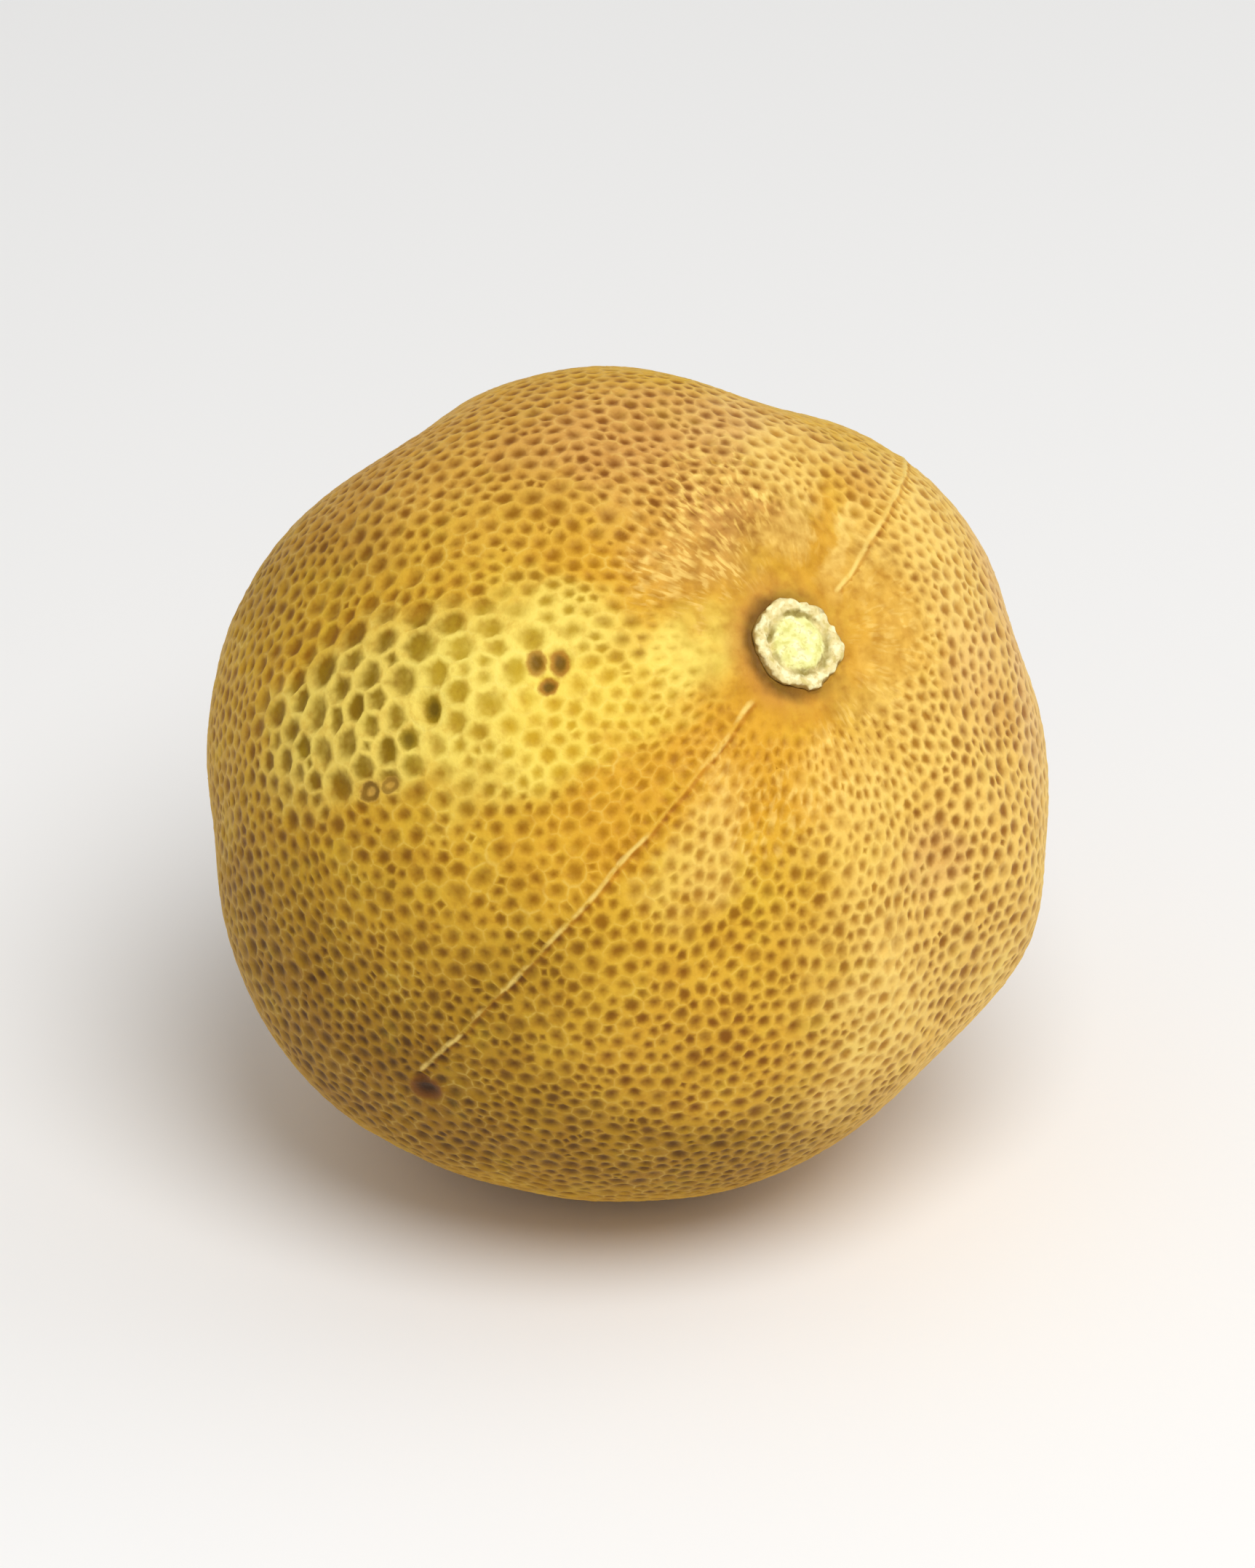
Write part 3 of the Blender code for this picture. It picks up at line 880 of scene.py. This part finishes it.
@dataclass(frozen=True)
class RindFinish:
    """The dry leathery rind: a pale net over dark pits, with ragged patches of colour."""

    halo_colour: Colour = paint(200, 136, 56)
    # Colour of the painted shadow round the button, and the side on which that painted shadow is
    # strongest
    button_shadow_colour: Colour = paint(110, 74, 8)
    shadowed_side: Vector = field(default_factory=lambda: globe(math.pi / 2.0, -105 * DEGREE))
    crease_colour: Colour = paint(254, 222, 124)
    # Colour of the painted highlight along the ridges' crests
    crest_highlight_colour: Colour = paint(255, 232, 132)
    # How ragged edges are: the lumps to a unit of length, and how far they reach
    loose_edge: tuple[float, float] = (5.0, 0.14)
    ragged_edge: tuple[float, float] = (24.0, 0.035)
    streak_edge: tuple[float, float] = (2.6, 0.20)
    crease_edge: tuple[float, float] = (8.0, 0.014)
    scar_edge: tuple[float, float] = (70.0, 0.005)
    crease: Crease = field(default_factory=Crease)
    blushes: tuple[Blush, ...] = BLUSHES
    scars: tuple[Scar, ...] = SCARS

    def material(self, form: Form, mouth: float) -> Material:
        """Makes the material.

        Args:
            form: The fruit's form, for its frame and radius.
            mouth: The polar angle of the socket's mouth.

        Returns:
            The rind's material.
        """
        wires = Wires("dried_rind")
        place = form.lean.seen(wires, form.radius)
        loose = wires.shaken(place, *self.loose_edge)
        ragged = wires.shaken(loose, *self.ragged_edge)
        streaks = self.streaks(wires, place)
        coat = Coat(*Shade.GROUND.value)
        for blush in self.blushes:
            cover = blush.cover(wires, ragged)
            coat = coat.under(wires, blush.shade, cover * streaks if blush.streaky else cover)
        coat = self.near_button(wires, place, coat, mouth)
        colour = self.pitted(wires, place, coat)
        colour = self.creased(wires, place, colour)
        colour = self.scarred(wires, place, colour, form.radius)
        fine = wires.cloud(place, 150.0, 3.0, 0.65)
        wires.dress(
            Base_Color=colour,
            Roughness=0.44 + 0.22 * fine,
            Specular_IOR_Level=0.18,
            Sheen_Weight=0.12,
            Sheen_Roughness=0.30,
            Sheen_Tint=(1.0, 0.86, 0.58),
            Normal=wires.relief(fine, 0.05 * MM, 0.5),
        )
        return wires.material

    def streaks(self, wires: Wires, place: object) -> Signal:
        """Gives a pattern of wavering streaks that run out from the stem."""
        flat = wires.flat(place)
        round_it = wires.vector("NORMALIZE", flat)
        spread = wires.vector("MULTIPLY", round_it, (4.0, 4.0, 4.0))
        along = wires.vector("MULTIPLY", flat, (7.0, 7.0, 7.0))
        fan = wires.shaken(wires.vector("ADD", spread, along), *self.streak_edge)
        broken = wires.cloud(place, 24.0, 1.0, 0.5).step(0.34, 0.60)
        return wires.cloud(fan, 4.2, 1.0, 0.4).step(0.42, 0.66) * broken

    def near_button(self, wires: Wires, place: object, coat: Coat, mouth: float) -> Coat:
        """Lays a brown halo and a painted shadow round the button, both stronger on its lower left
        than on its right.

        Args:
            wires: The material's nodes.
            place: The place on the fruit in its own frame.
            coat: The colours so far.
            mouth: The polar angle of the socket's mouth.

        Returns:
            The colours with the halo and the painted shadow ring.
        """
        rim = math.sin(mouth)
        away = wires.length(wires.flat(place))
        ragged = away + (wires.cloud(place, 20.0) - 0.5) * 0.035
        side = wires.dot(place, self.shadowed_side) / away
        fuzz = ragged.step(rim * 1.7, rim * 1.0) * side.step(-1.4, 0.8)
        # Painted shadow: a dark ring round the button's foot, strongest on its lower left
        shade = ragged.step(rim * 1.24, rim * 0.92) * side.step(-1.3, 0.7) * 0.9
        ridge, pit = (
            wires.lay(wires.lay(colour, self.halo_colour, fuzz * 0.75), self.button_shadow_colour, shade)
            for colour in (coat.ridge, coat.pit)
        )
        return Coat(ridge, pit)

    def pitted(self, wires: Wires, place: object, coat: Coat) -> Wire:
        """Joins the ridges' colour and the pits', lays a painted highlight along the ridges' crests,
        and mottles both.

        Args:
            wires: The material's nodes.
            place: The place on the fruit in its own frame.
            coat: The two colours.

        Returns:
            The rind's colour.
        """
        tone = wires.mark(Mark.TONE)
        edge = wires.cloud(place, 26.0)
        zone = wires.cloud(place, 7.0)
        sunk = wires.mark(Mark.PIT) * (0.84 + 0.34 * tone) + 0.9 * (edge - 0.5) + 0.5 * (zone - 0.5)
        colour = wires.lay(coat.ridge, coat.pit, sunk.step(0.02, 1.08))
        # Painted highlight along the crests of the ridges
        crest = sunk.step(0.25, -0.05) * edge.step(0.42, 0.60)
        colour = wires.lay(colour, self.crest_highlight_colour, crest * 0.25)
        mottle = wires.cloud(place, 9.0, 4.0, 0.6)
        grain = wires.cloud(place, 36.0)
        colour = wires.lay(colour, (0.82, 0.72, 0.50), mottle.step(0.5, 0.72) * 0.5, Kind.STAIN)
        colour = wires.lay(colour, (0.20, 0.14, 0.01), mottle.step(0.48, 0.28) * 0.5, Kind.LIGHTEN)
        return wires.lay(colour, (0.80, 0.70, 0.52), grain.step(0.48, 0.7) * 0.45, Kind.STAIN)

    def creased(self, wires: Wires, place: object, colour: object) -> Wire:
        """Paints the crease: a thin pale line, broken here and there, with a painted shadow in brown
        along one side of it.
        """
        run = wires.mark(Mark.CREASE).step(0.10, 0.45)
        wavy = wires.shaken(place, *self.crease_edge)
        aside = wires.dot(wavy, self.crease.side())
        broken = wires.cloud(place, 9.0, 4.0, 0.6).step(0.44, 0.58)
        # Painted shadow: a brown line along one side of the raised crease
        brown = aside.step(0.001, 0.007) * aside.step(0.021, 0.010)
        pale = aside.step(-0.009, -0.001) * aside.step(0.009, 0.001)
        colour = wires.lay(colour, (0.74, 0.56, 0.30), brown * run * 0.7, Kind.STAIN)
        return wires.lay(colour, self.crease_colour, pale * run * (0.04 + 0.66 * broken))

    def scarred(self, wires: Wires, place: object, colour: object, radius: float) -> Wire:
        """Paints the spoilt pits, which have ragged edges."""
        ragged = wires.shaken(place, *self.scar_edge)
        for scar in self.scars:
            colour = scar.paint_on(wires, ragged, colour, radius)
        return colour


@dataclass
class Fruit:
    """The netted rind as one closed skin with a socket for the button."""

    form: Form = field(default_factory=Form)
    net: Net = field(default_factory=Net)
    crease: Crease = field(default_factory=Crease)
    socket: Socket = field(default_factory=lambda: Socket(Lobes()))
    finish: RindFinish = field(default_factory=RindFinish)
    scars: tuple[Scar, ...] = SCARS

    def build(self) -> Piece:
        """Builds the rind and dresses it.

        Returns:
            The finished piece, which stands for the CAD fruit.
        """
        mesh = self.cells()
        self.open_socket(mesh)
        self.sink(mesh)
        self.line_socket(mesh)
        bmesh.ops.transform(mesh, matrix=self.form.lean.matrix(), verts=mesh.verts[:])
        self.flatten_rest(mesh)
        piece = to_piece("netted_rind", mesh, self.finish.material(self.form, self.mouth_polar()))
        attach(piece, "root")
        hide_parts("fruit")
        return piece

    def mouth_polar(self) -> float:
        """Gives the polar angle of the socket's mouth."""
        return self.socket.polar(self.form.stem_surface())

    def crease_step(self) -> float:
        """Gives the angle from one pit to the next along the crease."""
        return self.net.pitch() * self.net.crease_step

    def pit_places(self) -> list[Vector]:
        """Lists all pits, with those that line the crease and the socket's mouth."""
        surface = self.form.stem_surface()
        mouth = self.mouth_polar()
        room = self.socket.pit_step / surface
        step = self.crease_step()
        free = [
            place
            for place in self.net.places()
            if self.crease.clear(place, step)
            and abs(place.angle(AXIS) - mouth) > room
            and all(scar.clear(place, self.form.radius) for scar in self.scars)
        ]
        own = [spot(scar.polar, scar.azimuth) for scar in self.scars]
        return free + own + self.crease.pits(step) + self.socket.pits(mouth, surface)

    def cells(self) -> Mesh:
        """Builds the net on a unit globe, with one many-sided face for each pit."""
        mesh = bmesh.new()
        for mark in Mark:
            mesh.verts.layers.float.new(mark.value)
        for place in self.pit_places():
            mesh.verts.new(place)
        pits = mesh.verts[:]
        bmesh.ops.convex_hull(mesh, input=pits)
        hull_edges = mesh.edges[:]
        bmesh.ops.poke(mesh, faces=mesh.faces[:])
        bmesh.ops.rotate_edges(mesh, edges=hull_edges)
        bmesh.ops.dissolve_verts(mesh, verts=pits)
        long_edges = [edge for edge in mesh.edges if edge.calc_length() > self.net.long_edge]
        bmesh.ops.bisect_edges(mesh, edges=long_edges, cuts=1)
        for corner in mesh.verts:
            corner.co.normalize()
        return mesh

    def open_socket(self, mesh: Mesh) -> None:
        """Takes out the faces inside the mouth and rounds its edge."""
        polar = self.mouth_polar()
        inside = [face for face in mesh.faces if face.calc_center_median().angle(AXIS) < polar]
        bmesh.ops.delete(mesh, geom=inside, context="FACES")
        for corner in mesh.verts:
            if corner.is_boundary:
                corner.co = globe(polar, math.atan2(corner.co.y, corner.co.x))

    def sink(self, mesh: Mesh) -> None:
        """Sinks a pit into each face of the net, and lifts the whole net out to the rind.

        Args:
            mesh: The net on the unit globe, which becomes the rind in the fruit's own frame.
        """
        draw = random.Random(self.net.seed + 1)
        layers = {mark: mesh.verts.layers.float[mark.value] for mark in Mark}
        self.line_crease(mesh)
        cells = mesh.faces[:]
        outlines = [[corner.co.copy() for corner in face.verts] for face in cells]
        made = [self.pit(outline, draw) for outline in outlines]
        depths = {}
        bmesh.ops.inset_individual(mesh, faces=cells, thickness=self.net.inset)
        for face, outline, pit in zip(cells, outlines, made):
            for corner, place in zip(face.verts, outline):
                corner.co = pit.wall(place, self.net)
                pit.mark(corner, layers, pit.ring_depth, self.net.quiet_tone)
                depths[corner] = pit.depth * pit.ring_depth
        middles = bmesh.ops.poke(mesh, faces=cells)["verts"]
        for corner, pit in zip(middles, made):
            corner.co = pit.middle.normalized()
            pit.mark(corner, layers, 1.0, self.net.quiet_tone)
            depths[corner] = pit.depth
        for corner in mesh.verts:
            if corner not in depths:
                lift = self.crease.height * corner[layers[Mark.CREASE]]
                depths[corner] = draw.uniform(0.0, self.net.ridge_unevenness) - lift
                corner[layers[Mark.TONE]] = self.net.ridge_tone
                plain = self.net.near_stem(corner.co.normalized())
                corner[layers[Mark.PIT]] = self.net.quiet_tone * (1.0 - plain)
        directions = np.array([corner.co[:] for corner in mesh.verts])
        directions /= np.linalg.norm(directions, axis=1)[:, None]
        radii = self.form.radii(directions)
        for corner, direction, radius in zip(mesh.verts, directions, radii):
            corner.co = Vector(direction) * (radius - depths[corner])

    def line_crease(self, mesh: Mesh) -> None:
        """Draws the corners of the net that lie next to the crease onto its line."""
        layer = mesh.verts.layers.float[Mark.CREASE.value]
        side = self.crease.side()
        step = self.crease_step()
        for corner in mesh.verts:
            run = self.crease.run(corner.co, step)
            corner.co = (corner.co - side * corner.co.dot(side) * run).normalized()
            corner[layer] = run

    def pit(self, outline: list[Vector], draw: random.Random) -> Pit:
        """Settles the size and state of the pit inside one face of the net.

        Args:
            outline: The corners of the face on the unit globe.
            draw: The source of chance.

        Returns:
            The pit.
        """
        net = self.net
        middle = sum(outline, Vector()) / len(outline)
        reach = sum((place - middle).length for place in outline) / len(outline)
        direction = middle.normalized()
        from_rest = direction.angle(self.form.lean.rest())
        spoilt = not all(scar.clear(direction, self.form.radius) for scar in self.scars)
        shown = net.near_stem(direction)
        shown *= float(fade(from_rest, net.smooth_inside, net.smooth_outside))
        own = 1.0 + draw.uniform(-1.0, 1.0) * net.depth_spread
        large = net.large(direction, reach * self.form.radius)
        size = net.small_size + (net.large_size - net.small_size) * large
        ring_depth = net.ring_depth + (net.large_ring_depth - net.ring_depth) * large
        size *= 1.0 + draw.uniform(-1.0, 1.0) * net.size_spread
        depth = net.depth * reach * self.form.radius * own * shown
        depth *= net.spoilt_depth if spoilt else 1.0
        tone = draw.random()
        squeeze = net.squeeze(direction)
        return Pit(middle, reach, squeeze, size, depth, ring_depth, shown, tone)

    def line_socket(self, mesh: Mesh) -> None:
        """Turns the mouth's edge inwards and closes the socket with a floor."""
        edges = [edge for edge in mesh.edges if edge.is_boundary]
        level = sum(edge.verts[0].co.z for edge in edges) / len(edges)
        steps = [(radius * MM, level + drop * MM) for radius, drop in self.socket.lip]
        steps.append((steps[-1][0], self.form.stem_surface() - self.socket.depth))
        for radius, height in steps:
            made = bmesh.ops.extrude_edge_only(mesh, edges=edges)["geom"]
            edges = [item for item in made if isinstance(item, bmesh.types.BMEdge)]
            edges = [edge for edge in edges if edge.is_boundary]
            for corner in {corner for edge in edges for corner in edge.verts}:
                azimuth = math.atan2(corner.co.y, corner.co.x)
                ring = radius - self.socket.lobes.draw_in(azimuth)
                corner.co = Vector((ring * math.cos(azimuth), ring * math.sin(azimuth), height))
        floor = bmesh.ops.holes_fill(mesh, edges=edges, sides=0)["faces"]
        bmesh.ops.poke(mesh, faces=floor)

    def flatten_rest(self, mesh: Mesh) -> None:
        """Cuts the resting spot level with the ground and closes it with a flat face."""
        cut = bmesh.ops.bisect_plane(
            mesh,
            geom=mesh.verts[:] + mesh.edges[:] + mesh.faces[:],
            plane_co=(0.0, 0.0, 0.0),
            plane_no=(0.0, 0.0, -1.0),
            clear_outer=True,
        )
        rim = [item for item in cut["geom_cut"] if isinstance(item, bmesh.types.BMEdge)]
        floor = bmesh.ops.holes_fill(mesh, edges=rim, sides=0)["faces"]
        bmesh.ops.poke(mesh, faces=floor)


@dataclass(frozen=True)
class WoodFinish:
    """The dry pale wood of the button, crumbly at its rim, dark in its groove and on its side, partly
    its own tone and partly painted shade, with painted highlights on its lumps.
    """

    rim: Colour = paint(238, 220, 158)
    boss: Colour = paint(244, 240, 160)
    groove: Colour = paint(152, 134, 60)
    # Colour of the button's side, partly the wood's own brown and partly painted shade
    foot: Colour = paint(160, 128, 62)
    # Colour of the painted highlights on the lumps
    painted_highlight: Colour = paint(255, 252, 200)

    def material(self, form: Form, radius: float, top: float) -> Material:
        """Makes the material.

        Args:
            form: The fruit's form, for its frame.
            radius: The button's radius.
            top: The height of the button's top on the stem axis.

        Returns:
            The button's material.
        """
        wires = Wires("woody_button")
        middle = form.lean.matrix() @ Vector((0.0, 0.0, top))
        turn = (0.0, form.lean.tilt, form.lean.heading)
        place = wires.turned(wires.place(), middle, turn, (radius,) * 3)
        ragged = wires.shaken(place, 4.5, 0.09)
        away = wires.length(wires.flat(ragged))
        height = wires.dot(ragged, (0.0, 0.0, 1.0))
        grain = wires.cloud(place, 9.0)
        lumps = wires.cloud(place, 4.2)
        blotch = wires.cloud(place, 1.8)
        colour = wires.lay(self.rim, self.boss, away.step(0.68, 0.50))
        # The groove: partly the wood's own greenish tone and partly painted shade in the recess
        ring = away.step(0.52, 0.62) * away.step(0.76, 0.66)
        colour = wires.lay(colour, self.groove, ring * blotch.step(0.36, 0.6) * 0.9)
        # Painted highlights: pale flecks on the lumps, away from the groove
        colour = wires.lay(colour, self.painted_highlight, lumps.step(0.50, 0.62) * (1.0 - ring) * 0.75)
        # Greenish darkening: partly the wood's own tone and partly painted shade in the low spots
        colour = wires.lay(colour, (0.74, 0.70, 0.42), lumps.step(0.48, 0.34) * 0.7, Kind.STAIN)
        colour = wires.lay(colour, (0.70, 0.62, 0.46), grain.step(0.54, 0.68) * 0.6, Kind.STAIN)
        # The button's side: partly the wood's own brown and partly painted shade round its foot
        side = height.step(-0.025, -0.085) * away.step(0.86, 0.93)
        colour = wires.lay(colour, self.foot, side)
        wires.dress(
            Base_Color=colour,
            Roughness=0.78,
            Specular_IOR_Level=0.3,
            Normal=wires.relief(grain, 0.08 * MM, 0.8),
        )
        return wires.material


@dataclass
class StemButton:
    """The woody button: a turned disc with a crumbly rim, a groove and a boss."""

    form: Form = field(default_factory=Form)
    finish: WoodFinish = field(default_factory=WoodFinish)
    radius: float = 1.92 * MM
    stand: float = 0.35 * MM
    socket_depth: float = 0.95 * MM
    fit_gap: float = 0.3 * MM
    lobes: Lobes = field(default_factory=Lobes)
    sides: int = 180
    crumble: float = 0.11 * MM
    crumble_low: float = 0.4 * MM
    crumble_rise: float = 0.25 * MM
    lumps: float = 1.3 / MM
    crumbs: float = 3.4 / MM
    foot: tuple[tuple[float, float], ...] = ((0.55, 0.0), (0.86, 0.12))
    outline: tuple[tuple[float, float], ...] = (
        (0.96, -0.45), (0.98, -0.32), (0.995, -0.24), (0.995, -0.17), (0.98, -0.11), (0.96, -0.065),
        (0.935, -0.035), (0.905, -0.02), (0.875, -0.015), (0.84, -0.015), (0.80, -0.02),
        (0.76, -0.035), (0.72, -0.07), (0.69, -0.11), (0.66, -0.14), (0.63, -0.14), (0.60, -0.11),
        (0.565, -0.07), (0.52, -0.03), (0.47, 0.0), (0.41, 0.02), (0.34, 0.035), (0.27, 0.045),
        (0.20, 0.05), (0.13, 0.05), (0.06, 0.05),
    )

    def top(self) -> float:
        """Gives the height of the button's rim along the stem axis."""
        return self.form.stem_surface() + self.stand

    def profile(self) -> list[tuple[float, float]]:
        """Lists the outline as radius and height, from its foot over the rim to its boss."""
        bottom = self.form.stem_surface() - self.socket_depth + self.fit_gap
        lower = [(share * self.radius, bottom + lift * MM) for share, lift in self.foot]
        return lower + [(share * self.radius, self.top() + drop * MM) for share, drop in self.outline]

    def build(self) -> Piece:
        """Builds the button and dresses it.

        Returns:
            The finished piece, which stands for the CAD button.
        """
        mesh = self.turned()
        self.crumbled(mesh)
        bmesh.ops.transform(mesh, matrix=self.form.lean.matrix(), verts=mesh.verts[:])
        finish = self.finish.material(self.form, self.radius, self.top())
        piece = to_piece("stem_button_wood", mesh, finish)
        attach(piece, "root")
        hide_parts("stem_button")
        return piece

    def turned(self) -> Mesh:
        """Turns the outline round the stem axis and closes its two ends."""
        mesh = bmesh.new()
        points = [mesh.verts.new((radius, 0.0, height)) for radius, height in self.profile()]
        line = [mesh.edges.new(pair) for pair in zip(points, points[1:])]
        bmesh.ops.spin(
            mesh,
            geom=points + line,
            cent=(0.0, 0.0, 0.0),
            axis=(0.0, 0.0, 1.0),
            angle=math.tau,
            steps=self.sides,
            use_merge=True,
        )
        ends = bmesh.ops.holes_fill(mesh, edges=mesh.edges[:], sides=0)
        bmesh.ops.poke(mesh, faces=ends["faces"])
        return mesh

    def crumbled(self, mesh: Mesh) -> None:
        """Draws the disc in between its lobes and roughens its upper side."""
        low = self.top() - self.crumble_low
        for corner in mesh.verts:
            outward = Vector((corner.co.x, corner.co.y, 0.0))
            share = outward.length / self.radius
            drawn = self.lobes.draw_in(math.atan2(corner.co.y, corner.co.x)) * share**3
            exposed = float(fade(corner.co.z, low, low + self.crumble_rise))
            rough = noise.noise_vector(corner.co * self.lumps)
            fine = noise.noise_vector(corner.co * self.crumbs)
            inward = outward.normalized() if outward.length > 0.0 else outward
            corner.co += (rough + fine) * self.crumble * exposed - inward * drawn


@dataclass(frozen=True)
class FloorFinish:
    """A plain pale matt floor."""

    colour: Colour = (0.93, 0.925, 0.915)

    def material(self) -> Material:
        """Makes the floor's material."""
        wires = Wires("pale_floor")
        wires.dress(Base_Color=self.colour, Roughness=0.9, Specular_IOR_Level=0.1)
        return wires.material


@dataclass(frozen=True)
class Lamp:
    """A soft lamp: the way it hangs, in degrees, its distance and width, and its power."""

    name: str
    azimuth: float
    elevation: float
    distance: float
    width: float
    power: float

    def hang(self, aim: Vector) -> None:
        """Hangs the lamp so that it shines at a point."""
        data = bpy.data.lights.new(self.name, "AREA")
        data.shape = "DISK"
        data.size = self.width
        data.energy = self.power
        lamp = bpy.data.objects.new(self.name, data)
        back = Studio.way(self.azimuth, self.elevation)
        lamp.location = aim + back * self.distance
        lamp.rotation_euler = back.to_track_quat("Z", "Y").to_euler()
        lamp.visible_camera = False
        bpy.context.scene.collection.objects.link(lamp)


@dataclass
class Studio:
    """The floor, the soft light and the camera."""

    aim: Vector = field(default_factory=lambda: Vector((0.0, 0.0, 16.4)) * MM)
    azimuth: float = 0.0
    elevation: float = 30.0
    distance: float = 0.46
    lens: float = 262.0
    near: float = 0.01
    floor_width: float = 6.0
    floor_drop: float = 0.01 * MM
    sky: float = 0.46
    finish: FloorFinish = field(default_factory=FloorFinish)
    lamps: tuple[Lamp, ...] = (
        Lamp("key_light", 20.0, 58.0, 0.42, 0.26, 1.16),
        Lamp("fill_light", 102.0, 38.0, 0.5, 0.4, 0.28),
    )

    @staticmethod
    def way(azimuth: float, elevation: float) -> Vector:
        """Gives the direction towards a viewer who looks in from these angles, in degrees."""
        turn, rise = math.radians(azimuth), math.radians(elevation)
        flat = math.cos(rise)
        return Vector((math.sin(turn) * flat, -math.cos(turn) * flat, math.sin(rise)))

    def build(self) -> None:
        """Sets up the whole studio."""
        self.lay_floor()
        self.light()
        self.place_camera()

    def lay_floor(self) -> None:
        """Lays the floor just under the object."""
        mesh = bmesh.new()
        bmesh.ops.create_grid(mesh, x_segments=1, y_segments=1, size=self.floor_width / 2.0)
        bmesh.ops.translate(mesh, vec=(0.0, 0.0, -self.floor_drop), verts=mesh.verts[:])
        to_piece("floor", mesh, self.finish.material())

    def light(self) -> None:
        """Lights the scene with a pale sky and the lamps."""
        world = bpy.data.worlds.new("pale_sky")
        bpy.context.scene.world = world
        world.use_nodes = True
        sky = world.node_tree.nodes["Background"]
        sky.inputs["Color"].default_value = (1.0, 1.0, 1.0, 1.0)
        sky.inputs["Strength"].default_value = self.sky
        for lamp in self.lamps:
            lamp.hang(self.aim)
        bpy.context.scene.view_settings.view_transform = "Standard"

    def place_camera(self) -> None:
        """Places the camera at the photograph's viewing angle."""
        data = bpy.data.cameras.new("camera")
        data.lens = self.lens
        data.clip_start = self.near
        camera = bpy.data.objects.new("camera", data)
        back = self.way(self.azimuth, self.elevation)
        camera.location = self.aim + back * self.distance
        camera.rotation_euler = back.to_track_quat("Z", "Y").to_euler()
        bpy.context.scene.collection.objects.link(camera)
        bpy.context.scene.camera = camera


def report(piece: Piece) -> None:
    """Logs the name and the triangle count of a finished piece."""
    piece.data.calc_loop_triangles()
    logger.info("%s: %d triangles", piece.name, len(piece.data.loop_triangles))


def main() -> None:
    """Builds the dried lime's pieces and the studio round it."""
    logging.basicConfig(level=logging.INFO, format="%(message)s")
    # Vector noise starts from the clock unless it is given a seed
    noise.seed_set(NOISE_SEED)
    report(Fruit().build())
    report(StemButton().build())
    Studio().build()


if __name__ == "__main__":
    main()
